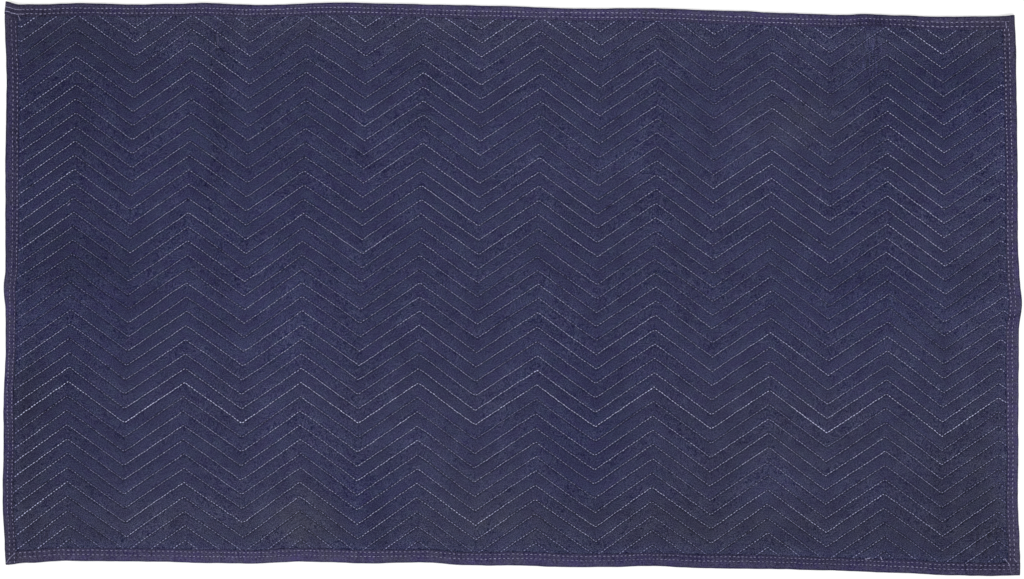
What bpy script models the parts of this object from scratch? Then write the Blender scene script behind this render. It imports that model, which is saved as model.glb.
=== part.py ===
"""Moving blanket, laid out flat on the floor.

One quilted panel, a sandwich of face cloth, batting and back cloth sewn through in zigzag rows, and four
strips of woven tape that are folded over its edges and lap each other at the corners like a pinwheel.

Every piece is first worked out in cloth coordinates: along runs from the left end to the right end of the
cut cloth, across runs from its bottom edge to its top edge, and depth is how far a point lies in from an
edge. laid() then puts a cloth point where it lies on the floor, +X along the blanket and +Z up.
All sizes are in metres.
"""

import math

import bmesh
import bpy
import numpy as np
from mathutils import Vector

# Cut size of the bound blanket.
LENGTH = 1.820
WIDTH = 1.006

# Thicknesses, from the floor up.
CLEARANCE = 0.0003
TAPE = 0.0008
EDGE_UNDERSIDE = 2 * (TAPE + CLEARANCE)
EDGE_THICKNESS = 0.0016
SEAM_HEIGHT = 0.0032
CROWN_HEIGHT = 0.0056

# Quilting: needles set a fixed pitch apart sew zigzag rows that run the length of the cloth.
ROW_PITCH = 0.02552
ZIGZAG_RISE = 0.072
HALF_RUN = 0.1046
FIRST_ROW = 0.9779
FIRST_APEX = 0.1176
END_SKEW = 0.0125
FIRST_COLUMN, LAST_COLUMN = -2, 18
TOP_ROW, BOTTOM_ROW = -3, 41

# Binding tape, folded over the edge.
FOLD_DEPTH = 0.0016
UNDER_FLANGE = 0.0235
CLOTH_SET_IN = 0.0026
LAP_LENGTH = 0.0245
LAP_RAMP = 0.016

# The edges are straight between evenly spaced stations, which every piece shares.
ALONG_STATIONS = np.linspace(0.0, LENGTH, 51)
ACROSS_STATIONS = np.linspace(0.0, WIDTH, 29)

# The panel is pressed flat as far in as the tape reaches, and swells to its full loft inside that.
PRESSED_DEPTH = 0.0245
STEP_WIDTH = 0.001
SWELL_WIDTH = 0.014

# A corner that lies this near a cut is moved onto it.
SNAP = 0.000001

# Where the four corners of the cut cloth lie on the floor.
CORNERS = {
    "top_left": (-0.912, 0.513),
    "top_right": (0.903, 0.490),
    "bottom_right": (0.913, -0.516),
    "bottom_left": (-0.912, -0.494),
}

# The cut edges aren't straight. Rows of (place along the edge, how far it lies outside the straight line
# between its corners), read from the left end or from the bottom end.
TOP_EDGE = (
    (0.000, 0.0036),
    (0.037, -0.0010),
    (0.145, 0.0025),
    (0.220, 0.0010),
    (0.360, 0.0055),
    (0.450, 0.0030),
    (0.613, 0.0095),
    (0.685, 0.0085),
    (0.865, 0.0070),
    (1.040, 0.0040),
    (1.153, 0.0060),
    (1.333, 0.0030),
    (1.495, -0.0015),
    (1.549, 0.0010),
    (1.600, -0.0010),
    (1.693, -0.0025),
    (1.820, 0.0020),
)
BOTTOM_EDGE = (
    (0.000, 0.0025),
    (0.037, -0.0010),
    (0.109, -0.0055),
    (0.289, -0.0060),
    (0.433, -0.0045),
    (0.541, -0.0095),
    (0.640, -0.0075),
    (0.757, -0.0105),
    (0.865, -0.0060),
    (0.937, -0.0070),
    (1.009, -0.0050),
    (1.153, -0.0090),
    (1.261, -0.0060),
    (1.477, -0.0050),
    (1.621, -0.0015),
    (1.765, 0.0015),
    (1.820, 0.0000),
)
LEFT_EDGE = (
    (0.000, 0.0005),
    (0.115, 0.0048),
    (0.223, 0.0028),
    (0.277, 0.0034),
    (0.385, -0.0007),
    (0.450, -0.0007),
    (0.493, 0.0028),
    (0.530, -0.0002),
    (0.700, -0.0002),
    (0.871, -0.0022),
    (0.979, 0.0010),
    (1.006, -0.0005),
)
RIGHT_EDGE = (
    (0.000, 0.0000),
    (0.137, -0.0020),
    (0.245, 0.0000),
    (0.434, 0.0030),
    (0.488, 0.0094),
    (0.542, 0.0050),
    (0.596, 0.0030),
    (0.731, 0.0040),
    (0.947, 0.0030),
    (1.006, 0.0005),
)

# The needles' drift: rows of (apex column, how far its apexes lie past their even spacing).
APEX_DRIFT = (
    (-2, 0.000),
    (1, -0.001),
    (4, -0.002),
    (10, 0.0025),
    (14, 0.000),
    (16, -0.005),
    (18, -0.006),
)

# Fold marks: rows of (start along, start across, end along, end across, lift, half width). The long one
# is a low ridge where the blanket was folded in half, and the rest are shallow troughs across it.
CREASES = (
    (0.000, 0.506, 0.200, 0.511, 0.0024, 0.022),
    (0.200, 0.511, 1.170, 0.513, 0.0016, 0.018),
    (1.170, 0.513, 1.820, 0.494, 0.0022, 0.020),
    (0.160, 0.850, 0.165, 0.420, -0.0009, 0.030),
    (0.372, 0.985, 0.390, 0.505, -0.0010, 0.016),
    (0.615, 0.450, 0.622, 0.120, -0.0006, 0.020),
    (0.750, 0.900, 0.757, 0.760, -0.0009, 0.018),
    (1.160, 0.930, 1.168, 0.560, -0.0005, 0.018),
    (1.540, 0.985, 1.575, 0.520, -0.0012, 0.022),
)

# Binding strips, in the order they are sewn on. Each runs clockwise, from the end that laps over its
# neighbour to the end that its next neighbour covers: (name, stations, face flange at start, at end).
STRIPS = (
    ("binding_top", ALONG_STATIONS, 0.0225, 0.0225),
    ("binding_right", ACROSS_STATIONS, 0.0205, 0.0205),
    ("binding_bottom", ALONG_STATIONS, 0.0235, 0.0235),
    ("binding_left", ACROSS_STATIONS, 0.0180, 0.0225),
)


def smooth(share):
    """An even ease from 0 to 1."""
    share = min(max(share, 0.0), 1.0)
    return share * share * (3 - 2 * share)


def read(table, place):
    """The value of a two-column table at a place, eased between its rows."""
    for (start, first), (end, last) in zip(table, table[1:]):
        if place <= end:
            return first + (last - first) * smooth((place - start) / (end - start))
    return table[-1][1]


EDGE_LINES = {
    "top": (ALONG_STATIONS, [read(TOP_EDGE, place) for place in ALONG_STATIONS]),
    "bottom": (ALONG_STATIONS, [read(BOTTOM_EDGE, place) for place in ALONG_STATIONS]),
    "left": (ACROSS_STATIONS, [read(LEFT_EDGE, place) for place in ACROSS_STATIONS]),
    "right": (ACROSS_STATIONS, [read(RIGHT_EDGE, place) for place in ACROSS_STATIONS]),
}


def laid(along, across):
    """Where a point of the cut cloth lies on the floor."""
    right = along / LENGTH
    up = across / WIDTH
    bottom = Vector(CORNERS["bottom_left"]).lerp(Vector(CORNERS["bottom_right"]), right)
    top = Vector(CORNERS["top_left"]).lerp(Vector(CORNERS["top_right"]), right)
    spot = bottom.lerp(top, up)
    out = {side: np.interp(across, *EDGE_LINES[side]) for side in ("left", "right")}
    out.update({side: np.interp(along, *EDGE_LINES[side]) for side in ("top", "bottom")})
    spot.x += right * out["right"] - (1 - right) * out["left"]
    spot.y += up * out["top"] - (1 - up) * out["bottom"]
    return spot


def edge_depth(along, across):
    """How far a cloth point lies in from the nearest edge."""
    return min(along, LENGTH - along, across, WIDTH - across)


def quilted(column, row):
    """The cloth point where the quilting machine put a place on its zigzag rows."""
    to_trough = abs((column + 1) % 2 - 1)
    across = FIRST_ROW - ROW_PITCH * row + ZIGZAG_RISE * (0.5 - to_trough)
    drift = read(APEX_DRIFT, column)
    along = FIRST_APEX + HALF_RUN * column + drift + END_SKEW * (across - WIDTH / 2)
    return along, across


def crease_lift(along, across):
    """How far the strongest fold mark near a cloth point raises or sinks the face there."""
    lifts = []
    for start_along, start_across, end_along, end_across, height, half_width in CREASES:
        start = Vector((start_along, start_across))
        run = Vector((end_along, end_across)) - start
        point = Vector((along, across)) - start
        share = min(max(point.dot(run) / run.length_squared, 0.0), 1.0)
        away = (point - run * share).length / half_width
        lifts.append(height * math.exp(-away * away))
    return max(lifts, key=abs)


def face_height(along, across, row):
    """Height of the quilted face: low on each seam, crowned between seams, pressed flat under the tape."""
    crown = math.sin(math.pi * (row % 1.0))
    lofted = SEAM_HEIGHT + (CROWN_HEIGHT - SEAM_HEIGHT) * crown + crease_lift(along, across)
    swell = smooth((edge_depth(along, across) - PRESSED_DEPTH) / SWELL_WIDTH)
    pressed = EDGE_UNDERSIDE + EDGE_THICKNESS
    return pressed + (lofted - pressed) * swell


def cut(bm, faces, axis, place, keep=0):
    """Cuts faces along a straight line of the cloth. keep is the side that stays: -1, 1, or 0 for both."""
    around = dict.fromkeys(item for face in faces for item in (face, *face.edges, *face.verts))
    point, normal = Vector((0, 0, 0)), Vector((0, 0, 0))
    point[axis] = place
    normal[axis] = 1
    bmesh.ops.bisect_plane(
        bm,
        geom=list(around),
        dist=SNAP,
        plane_co=point,
        plane_no=normal,
        clear_inner=keep > 0,
        clear_outer=keep < 0,
    )


def cut_all_round(bm, faces_of, depth, trim=False):
    """Cuts the cloth along the four lines that lie a given depth in from its edges."""
    for axis, size in ((0, LENGTH), (1, WIDTH)):
        cut(bm, faces_of(), axis, depth, 1 if trim else 0)
        cut(bm, faces_of(), axis, size - depth, -1 if trim else 0)


def new_object(name, mesh, material, collection):
    """Puts a finished mesh in the scene under its name."""
    mesh.materials.append(material)
    piece = bpy.data.objects.new(name, mesh)
    collection.objects.link(piece)
    return piece


def cloth_material(name, colour, roughness):
    """Plain woven cotton and polyester: dull, with no metal in it."""
    material = bpy.data.materials.new(name)
    material.use_nodes = True
    shader = material.node_tree.nodes["Principled BSDF"]
    shader.inputs["Base Color"].default_value = (*colour, 1.0)
    shader.inputs["Roughness"].default_value = roughness
    shader.inputs["Metallic"].default_value = 0.0
    material.diffuse_color = (*colour, 1.0)
    return material


def make_panel(collection, material):
    """The quilted sandwich: a sheet meshed along its own seams, trimmed square and thickened downwards."""
    columns = LAST_COLUMN - FIRST_COLUMN
    rows = BOTTOM_ROW - TOP_ROW
    bm = bmesh.new()
    row_of = bm.verts.layers.float.new("row")
    bmesh.ops.create_grid(bm, x_segments=columns, y_segments=2 * rows, size=0.5)
    for vert in bm.verts:
        column = round(FIRST_COLUMN + (vert.co.x + 0.5) * columns)
        row = round(2 * (TOP_ROW + (0.5 - vert.co.y) * rows)) / 2
        vert[row_of] = row
        vert.co.x, vert.co.y = quilted(column, row)
    cut_all_round(bm, lambda: bm.faces[:], CLOTH_SET_IN, trim=True)
    cut_all_round(bm, lambda: bm.faces[:], PRESSED_DEPTH)

    face_side = bmesh.ops.extrude_face_region(bm, geom=bm.faces[:])["geom"]
    for vert in (item for item in face_side if isinstance(item, bmesh.types.BMVert)):
        vert.co.z = face_height(vert.co.x, vert.co.y, vert[row_of])

    def underside():
        return [face for face in bm.faces if all(vert.co.z == 0 for vert in face.verts)]

    cut_all_round(bm, underside, PRESSED_DEPTH + STEP_WIDTH)
    lifted = PRESSED_DEPTH + STEP_WIDTH / 2
    for vert in {vert for face in underside() for vert in face.verts}:
        if edge_depth(vert.co.x, vert.co.y) < lifted:
            vert.co.z = EDGE_UNDERSIDE
    bmesh.ops.dissolve_faces(bm, faces=underside(), use_verts=True)

    for vert in bm.verts:
        vert.co.x, vert.co.y = laid(vert.co.x, vert.co.y)
    bmesh.ops.recalc_face_normals(bm, faces=bm.faces[:])
    mesh = bpy.data.meshes.new("quilted_panel")
    bm.to_mesh(mesh)
    bm.free()
    new_object("quilted_panel", mesh, material, collection)


def strip_point(name, run, depth):
    """The cloth point a run from a strip's lapping end and a depth in from its edge."""
    return {
        "binding_top": (run, WIDTH - depth),
        "binding_right": (LENGTH - depth, WIDTH - run),
        "binding_bottom": (LENGTH - run, depth),
        "binding_left": (depth, run),
    }[name]


def tape_section(face_flange, lapping):
    """The folded tape's outer side, as (depth, height) from its lower flange round to its face flange.
    lapping is 1 where the tape opens over its neighbour's end, and 0 along the rest of the edge."""
    low = (TAPE + CLEARANCE) * (1 - lapping)
    high = EDGE_UNDERSIDE + EDGE_THICKNESS + (TAPE + CLEARANCE) * (1 + lapping)
    return (
        (UNDER_FLANGE, low),
        (FOLD_DEPTH, low),
        (0.0, (low + high) / 2),
        (FOLD_DEPTH, high),
        (face_flange, high),
    )


def make_strip(name, stations, flange_start, flange_end, collection, material):
    """A strip of tape folded over one edge: an open sheet bent to its section, thickened inwards."""
    covered_end = stations[-1] - CLOTH_SET_IN
    runs = sorted([*stations[:-1], covered_end, LAP_LENGTH, LAP_LENGTH + LAP_RAMP])
    points = len(tape_section(flange_start, 0.0))
    bm = bmesh.new()
    bmesh.ops.create_grid(bm, x_segments=len(runs) - 1, y_segments=points - 1, size=0.5)
    for vert in bm.verts:
        run = runs[round((vert.co.x + 0.5) * (len(runs) - 1))]
        flange = flange_start + (flange_end - flange_start) * run / stations[-1]
        lapping = 1 - smooth((run - LAP_LENGTH) / LAP_RAMP)
        depth, height = tape_section(flange, lapping)[round((0.5 - vert.co.y) * (points - 1))]
        spot = laid(*strip_point(name, run, depth))
        vert.co = (spot.x, spot.y, height)
    mesh = bpy.data.meshes.new(name)
    bm.to_mesh(mesh)
    bm.free()
    strip = new_object(name, mesh, material, collection)
    thicken = strip.modifiers.new("tape thickness", "SOLIDIFY")
    thicken.thickness = TAPE
    thicken.offset = -1.0
    thicken.use_even_offset = True


def main():
    for leftover in list(bpy.data.objects):
        bpy.data.objects.remove(leftover)
    collection = bpy.data.collections.new("moving_blanket")
    bpy.context.scene.collection.children.link(collection)
    quilted_cloth = cloth_material("quilted_cloth", (0.037, 0.039, 0.085), 0.9)
    binding_tape = cloth_material("binding_tape", (0.050, 0.045, 0.098), 0.85)
    make_panel(collection, quilted_cloth)
    for name, stations, flange_start, flange_end in STRIPS:
        make_strip(name, stations, flange_start, flange_end, collection, binding_tape)


main()
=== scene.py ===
import math

import bmesh
import bpy
import numpy as np
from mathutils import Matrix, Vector, noise


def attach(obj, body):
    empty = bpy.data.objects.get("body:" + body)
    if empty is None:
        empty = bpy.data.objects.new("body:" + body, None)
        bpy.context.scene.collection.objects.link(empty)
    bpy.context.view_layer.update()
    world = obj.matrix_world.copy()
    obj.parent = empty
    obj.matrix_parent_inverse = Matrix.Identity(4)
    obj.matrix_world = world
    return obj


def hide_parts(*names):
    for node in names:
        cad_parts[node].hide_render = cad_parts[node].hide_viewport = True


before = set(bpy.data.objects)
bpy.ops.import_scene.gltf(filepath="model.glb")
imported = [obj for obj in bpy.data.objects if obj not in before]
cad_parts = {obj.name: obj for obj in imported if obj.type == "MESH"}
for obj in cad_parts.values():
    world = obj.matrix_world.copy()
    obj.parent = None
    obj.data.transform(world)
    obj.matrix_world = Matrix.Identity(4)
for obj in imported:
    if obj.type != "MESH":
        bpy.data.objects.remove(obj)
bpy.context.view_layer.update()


# ----------------------------------------------------------
# The room: a plain white floor under a bright even sky, with the softer light of one broad window on the
# near side, and a camera on a boom straight above the blanket. None of it belongs to the blanket.
# ----------------------------------------------------------
BOOM_HEIGHT = 4.352
BOOM_OFFSET = (-0.0004, -0.0016)
FILM_WIDTH = 36.0
LENS = 85.0
SKY_STRENGTH = 1.15
WINDOW_STRENGTH = 1.1
WINDOW_BREADTH = math.radians(45)
WINDOW_TILT = math.radians(48)
FLOOR_SIZE = 14.0
FLOOR_WHITE = 0.93

scene = bpy.context.scene
scene.view_settings.view_transform = "Standard"
scene.view_settings.look = "None"

world = bpy.data.worlds.new("white_sky")
world.use_nodes = True
sky = world.node_tree.nodes["Background"]
sky.inputs["Color"].default_value = (1.0, 1.0, 1.0, 1.0)
sky.inputs["Strength"].default_value = SKY_STRENGTH
scene.world = world

window = bpy.data.lights.new("window", "SUN")
window.energy = WINDOW_STRENGTH
window.angle = WINDOW_BREADTH
window_stand = bpy.data.objects.new("window", window)
window_stand.rotation_euler = (WINDOW_TILT, 0.0, 0.0)
scene.collection.objects.link(window_stand)

bpy.ops.mesh.primitive_plane_add(size=FLOOR_SIZE)
floor = bpy.context.active_object
floor.name = "floor"
floor_paint = bpy.data.materials.new("floor_paint")
floor_paint.use_nodes = True
floor_shader = floor_paint.node_tree.nodes["Principled BSDF"]
floor_shader.inputs["Base Color"].default_value = (FLOOR_WHITE, FLOOR_WHITE, FLOOR_WHITE, 1.0)
floor_shader.inputs["Roughness"].default_value = 0.9
floor_shader.inputs["Specular IOR Level"].default_value = 0.0
floor.data.materials.append(floor_paint)

camera_data = bpy.data.cameras.new("overhead_camera")
camera_data.lens = LENS
camera_data.sensor_width = FILM_WIDTH
camera = bpy.data.objects.new("overhead_camera", camera_data)
camera.location = (*BOOM_OFFSET, BOOM_HEIGHT)
scene.collection.objects.link(camera)
scene.camera = camera


# ----------------------------------------------------------
# The quilted panel: dark blue face cloth and back cloth with a thin batting between them, sewn together by
# rows of zigzag lockstitch before it was cut. It puffs up between the rows and is drawn down along them, and
# it is pressed flat where the binding grips it.
# ----------------------------------------------------------

# The cut cloth has its own coordinates: along runs from its left end, across from its bottom edge, and
# depth is how far in a point lies from the nearest edge.
LENGTH = 1.82
WIDTH = 1.006
CORNERS = {
    "top_left": (-0.912, 0.513),
    "top_right": (0.903, 0.490),
    "bottom_right": (0.913, -0.516),
    "bottom_left": (-0.912, -0.494),
}

# How far each cut edge bulges out from the straight line between its corners: (place along it, bulge).
TOP_EDGE = (
    (0.0, 0.0036), (0.024, -0.0018), (0.05, -0.0008), (0.145, 0.0025), (0.22, 0.001), (0.3, 0.0029),
    (0.36, 0.0055), (0.45, 0.003), (0.613, 0.0095), (0.685, 0.0085), (0.865, 0.007), (1.04, 0.004),
    (1.153, 0.006), (1.333, 0.003), (1.385, 0.0008), (1.515, -0.0017), (1.549, 0.001), (1.6, -0.001),
    (1.693, -0.0025), (1.76, -0.001), (1.8, 0.0), (1.82, 0.002),
)
BOTTOM_EDGE = (
    (0.0, 0.0025), (0.037, -0.001), (0.109, -0.0055), (0.289, -0.006), (0.345, -0.0047), (0.433, -0.0045),
    (0.541, -0.0095), (0.64, -0.0075), (0.757, -0.0105), (0.82, -0.0067), (0.865, -0.006), (0.915, -0.0072),
    (1.009, -0.005), (1.08, -0.0061), (1.153, -0.009), (1.261, -0.006), (1.37, -0.0063), (1.477, -0.005),
    (1.621, -0.0015), (1.69, 0.0012), (1.765, 0.0015), (1.82, 0.0),
)
LEFT_EDGE = (
    (0.0, -0.0008), (0.03, 0.0008), (0.115, 0.0048), (0.223, 0.0028), (0.277, 0.0034), (0.385, -0.0007),
    (0.45, -0.0007), (0.493, 0.0028), (0.53, -0.0002), (0.7, -0.0002), (0.871, -0.0022), (0.979, 0.001),
    (1.006, -0.0012),
)
RIGHT_EDGE = (
    (0.0, 0.0), (0.035, 0.0008), (0.137, -0.002), (0.245, 0.0), (0.434, 0.0026), (0.488, 0.0086),
    (0.542, 0.0046), (0.596, 0.0028), (0.731, 0.0034), (0.947, 0.0026), (1.006, 0.0005),
)

# The quilting machine's zigzag: apexes a half run apart, rows a pitch apart, with the whole lattice a little
# askew. Even columns are peaks, odd ones troughs. Rows are counted downward, row 0 lying just below the top
# edge, and the rows before it reach the cloth with their troughs alone.
ROW_PITCH = 0.02552
ZIGZAG_RISE = 0.072
HALF_RUN = 0.1046
FIRST_ROW = 0.9779
FIRST_APEX = 0.1176
END_SKEW = 0.0125
COLUMNS = (-2, 18)
ROWS = (-3, 41)
END_COLUMNS = (-0.5, 15.5)

# The cloth crept under the needles: (row, how far it lies up, right at the left end, right at the right end).
ROW_DRIFT = (
    (-3, -0.003, 0.007, -0.0015), (0, -0.003, 0.007, -0.0015), (3, -0.002, 0.003, 0.0),
    (6, -0.0015, 0.002, 0.0005), (9, -0.0005, 0.0025, 0.0005), (12, -0.0005, 0.0005, 0.0005),
    (15, -0.001, 0.0, 0.001), (18, 0.0, -0.0015, -0.002), (21, 0.002, -0.003, 0.0015),
    (24, 0.001, -0.0045, 0.0035), (27, -0.0005, -0.0015, 0.003), (30, -0.0015, -0.0015, 0.002),
    (33, -0.002, 0.002, 0.0025), (36, -0.003, 0.003, 0.0005), (39, -0.005, 0.003, -0.002),
    (41, -0.0055, 0.003, -0.002),
)

# And no two needles stand quite true: (apex column, how far its apexes lie right, and up).
APEX_DRIFT = (
    (-2, 0.001, -0.003), (-1, 0.001, -0.003), (0, 0.001, -0.001), (1, 0.0005, -0.0005),
    (2, 0.0005, -0.0005), (3, -0.0005, -0.0005), (4, -0.0025, -0.002), (5, -0.0015, -0.002),
    (6, 0.0, -0.0015), (7, -0.001, 0.0), (8, 0.003, 0.002), (9, 0.0055, 0.0005), (10, 0.003, -0.0015),
    (11, 0.0025, -0.001), (12, 0.0015, -0.001), (13, 0.002, -0.002), (14, 0.0015, -0.002),
    (15, -0.001, -0.002), (16, -0.0045, -0.003), (18, -0.005, -0.003),
)

# Here and there the cloth slipped sideways under the foot: (column, row, reach in columns and in rows, how
# far it lies right, and up).
SLIPS = (
    (4.0, 36, 1.9, 8, 0.001, 0.0025), (5.0, 9, 1.3, 10, 0.001, -0.0015), (1.5, 22, 1.8, 6, 0.004, -0.004),
    (0.0, 19, 0.8, 10, 0.004, -0.001), (15.0, 0, 1.7, 13, -0.003, 0.0005),
    (13.0, 31, 0.8, 15, -0.002, -0.003), (0.5, 23, 4.2, 8, -0.003, 0.003),
    (16.0, 26, 1.4, 4, -0.004, -0.001), (10.0, -2, 2.1, 20, 0.004, 0.0), (9.0, 8, 0.8, 20, -0.004, -0.0005),
    (13.0, 41, 1.8, 19, 0.0, 0.0015), (11.0, 5, 0.8, 15, -0.004, -0.001),
    (5.0, 35, 0.8, 3, -0.0035, -0.002), (1.0, 30, 0.8, 8, -0.001, -0.002), (-1.5, 5, 1.0, 20, 0.003, 0.004),
    (8.5, 15, 1.4, 6, -0.0005, 0.001), (4.0, 27, 0.8, 11, 0.0025, -0.001),
    (16.0, 7, 0.9, 12, 0.003, 0.0005),
)

# Fold marks: (start along, start across, end along, end across, lift, half width). The long one is a ridge
# where the blanket was folded in half, and the rest are shallow troughs.
CREASES = (
    (0.0, 0.506, 0.2, 0.511, 0.0024, 0.022), (0.2, 0.511, 1.17, 0.513, 0.0016, 0.018),
    (1.17, 0.513, 1.82, 0.494, 0.0022, 0.02), (0.16, 0.85, 0.165, 0.42, -0.0009, 0.03),
    (0.372, 0.985, 0.39, 0.505, -0.001, 0.01), (0.615, 0.45, 0.622, 0.12, -0.0006, 0.02),
    (0.75, 0.9, 0.757, 0.76, -0.0009, 0.01), (1.16, 0.93, 1.168, 0.56, -0.0005, 0.018),
    (1.54, 0.985, 1.575, 0.52, -0.0012, 0.014),
)

# Soft lighter and darker areas of the face, partly wear and partly painted shade in crease troughs and
# painted light and shade on fold slopes: (along, across, reach along, reach across, tone).
WORN_AND_SHADED_AREAS = (
    (0.08, 0.85, 0.17, 0.33, -0.18), (0.12, 1.0, 0.32, 0.27, -0.05), (0.06, 0.56, 0.2, 0.08, -0.14),
    (0.16, 0.64, 0.14, 0.08, 0.09), (0.38, 0.74, 0.02, 0.3, -0.14), (0.54, 0.79, 0.04, 0.2, -0.08),
    (0.75, 0.84, 0.02, 0.08, -0.1), (1.6, 0.95, 0.15, 0.02, 0.2), (1.36, 0.78, 0.1, 0.06, 0.12),
    (1.65, 0.9, 0.13, 0.25, -0.11), (1.74, 0.98, 0.12, 0.2, -0.09), (1.05, 0.28, 0.08, 0.14, -0.07),
    (1.31, 0.16, 0.08, 0.08, -0.1), (1.37, 0.15, 0.05, 0.06, 0.22), (1.34, 0.08, 0.5, 0.05, -0.11),
    (0.8, 0.14, 0.06, 0.1, 0.06), (0.98, 0.74, 0.25, 0.06, 0.09), (1.69, 0.63, 0.06, 0.09, 0.12),
    (1.65, 0.54, 0.22, 0.03, -0.1), (1.82, 0.45, 0.45, 0.08, 0.09), (1.79, 0.78, 0.12, 0.08, 0.18),
    (1.78, 0.19, 0.02, 0.11, 0.22), (1.76, 0.12, 0.13, 0.16, -0.17), (0.42, 0.06, 0.26, 0.08, 0.1),
    (0.5, 0.31, 0.08, 0.12, 0.14), (0.67, 0.05, 0.02, 0.13, -0.18), (0.7, 0.25, 0.12, 0.08, 0.1),
    (0.91, 0.38, 0.05, 0.15, 0.08), (0.91, 0.0, 0.06, 0.23, 0.1), (0.94, 0.97, 0.42, 0.06, 0.06),
    (0.03, 0.3, 0.06, 0.06, -0.26), (0.03, 0.16, 0.06, 0.15, -0.19), (0.12, 0.33, 0.05, 0.37, -0.09),
    (0.03, 0.99, 0.06, 0.05, -0.12), (0.5, 0.48, 0.12, 0.1, 0.08), (0.1, 0.45, 0.05, 0.05, 0.12),
)

# Grey dust, which hides the blue: (along, across, reach along, reach across, more or less than all over).
DUSTY_AREAS = (
    (0.6, 0.99, 0.62, 0.05, 0.33), (1.15, 0.94, 0.8, 0.05, 0.09), (1.68, 0.88, 0.12, 0.08, -0.22),
    (1.58, 0.96, 0.12, 0.05, 0.14), (0.91, 0.3, 0.9, 0.04, 0.1), (0.91, 0.07, 1.0, 0.05, 0.34),
    (0.02, 0.2, 0.06, 0.22, 0.22), (0.1, 0.65, 0.1, 0.3, -0.22), (1.8, 0.3, 0.07, 0.32, 0.13),
    (1.74, 0.17, 0.12, 0.12, 0.25), (1.54, 0.5, 0.1, 0.2, -0.15), (1.45, 0.24, 0.2, 0.1, 0.2),
    (0.06, 0.96, 0.12, 0.09, 0.1), (0.12, 0.08, 0.18, 0.08, 0.1), (0.55, 0.08, 0.06, 0.06, 0.45),
    (0.65, 0.1, 0.1, 0.07, -0.45), (1.04, 0.2, 0.09, 0.18, -0.3), (0.34, 0.63, 0.48, 0.27, -0.12),
    (0.95, 0.16, 0.5, 0.09, 0.18), (1.42, 0.81, 0.1, 0.05, 0.36), (1.62, 0.6, 0.2, 0.05, 0.12),
    (1.6, 0.41, 0.17, 0.06, 0.16), (1.77, 0.97, 0.06, 0.05, 0.25),
)
DUST_ALL_OVER = 0.12

# Where the cloth is rumpled into fine upright wrinkles, drawn as painted light and shade and as bump: (along,
# across, reach along, reach across, how much).
RUMPLED_AREAS = (
    (0.379, 0.935, 0.014, 0.032, 0.8), (1.556, 0.935, 0.03, 0.045, 1.0), (0.075, 0.05, 0.035, 0.022, 0.8),
    (1.76, 0.06, 0.035, 0.045, 0.6), (1.575, 0.5, 0.03, 0.4, 0.25), (0.39, 0.6, 0.03, 0.3, 0.25),
    (0.89, 0.5, 0.9, 0.025, 0.25),
)

# A band of painted light just inside the binding, where the cloth bends over its edge.
MARGIN_DEPTH = 0.0265
MARGIN_WIDTH = 0.0045
MARGIN_LIGHT = 0.16

PRESSED_DEPTH = 0.0245
SET_IN = 0.0026
FACE_CELLS = 2
ROW_STEPS = (0.0, 0.17, 0.5, 0.83)
COLUMN_STEPS = 6
SNAP = 0.000001

LOFTS_A_COLUMN = 1.7
LOFT_LAYER = 7.0

# The random patterns span a half either way, and the product beside a seam peaks at a quarter. These two make
# Pucker and Loft Unevenness the greatest heights.
PUCKER_GAIN = 8.0
LOFT_GAIN = 2.0


def smooth(share):
    """An even ease from 0 to 1."""
    share = np.clip(share, 0.0, 1.0)
    return share * share * (3 - 2 * share)


def read(table, place):
    """The values beside a table's first column at each place, eased between its rows."""
    table = np.array(table)
    place = np.asarray(place, dtype=float)
    row = np.clip(np.searchsorted(table[:, 0], place, side="right") - 1, 0, len(table) - 2)
    share = smooth((place - table[row, 0]) / (table[row + 1, 0] - table[row, 0]))
    before, after = np.moveaxis(table[row], -1, 0), np.moveaxis(table[row + 1], -1, 0)
    return (before + (after - before) * share)[1:]


def laid(along, across):
    """Where points of the cut cloth lie on the floor."""
    right, up = along / LENGTH, across / WIDTH
    spots = []
    for axis in (0, 1):
        bottom = CORNERS["bottom_left"][axis] * (1 - right) + CORNERS["bottom_right"][axis] * right
        top = CORNERS["top_left"][axis] * (1 - right) + CORNERS["top_right"][axis] * right
        spots.append(bottom * (1 - up) + top * up)
    spots[0] = spots[0] + right * read(RIGHT_EDGE, across)[0] - (1 - right) * read(LEFT_EDGE, across)[0]
    spots[1] = spots[1] + up * read(TOP_EDGE, along)[0] - (1 - up) * read(BOTTOM_EDGE, along)[0]
    return spots


def edge_depth(along, across):
    """How far cloth points lie in from the nearest edge."""
    return np.minimum(np.minimum(along, LENGTH - along), np.minimum(across, WIDTH - across))


def quilted(column, row):
    """The cloth points where the machine put places on its zigzag rows."""
    to_trough = np.abs(np.mod(column + 1, 2) - 1)
    lift, right_at_left, right_at_right = read(ROW_DRIFT, row)
    apexes = np.array(APEX_DRIFT)
    across = FIRST_ROW - ROW_PITCH * row + ZIGZAG_RISE * (0.5 - to_trough)
    across = across + lift + np.interp(column, apexes[:, 0], apexes[:, 2])
    along = FIRST_APEX + HALF_RUN * column + END_SKEW * (across - WIDTH / 2)
    along = along + np.interp(column, apexes[:, 0], apexes[:, 1])
    along = along + np.interp(column, END_COLUMNS, (0, 1)) * (right_at_right - right_at_left) + right_at_left
    right, up = areas(SLIPS, column, row)
    return along + right, across + up


def crease_lift(along, across):
    """How far the strongest fold mark near each cloth point raises or sinks the face."""
    strongest = np.zeros_like(along)
    for start_along, start_across, end_along, end_across, lift, half_width in CREASES:
        run_along, run_across = end_along - start_along, end_across - start_across
        share = (along - start_along) * run_along + (across - start_across) * run_across
        share = np.clip(share / (run_along**2 + run_across**2), 0.0, 1.0)
        away = np.hypot(along - start_along - share * run_along, across - start_across - share * run_across)
        mark = lift * np.exp(-((away / half_width) ** 2))
        strongest = np.where(np.abs(mark) > np.abs(strongest), mark, strongest)
    return strongest


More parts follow.
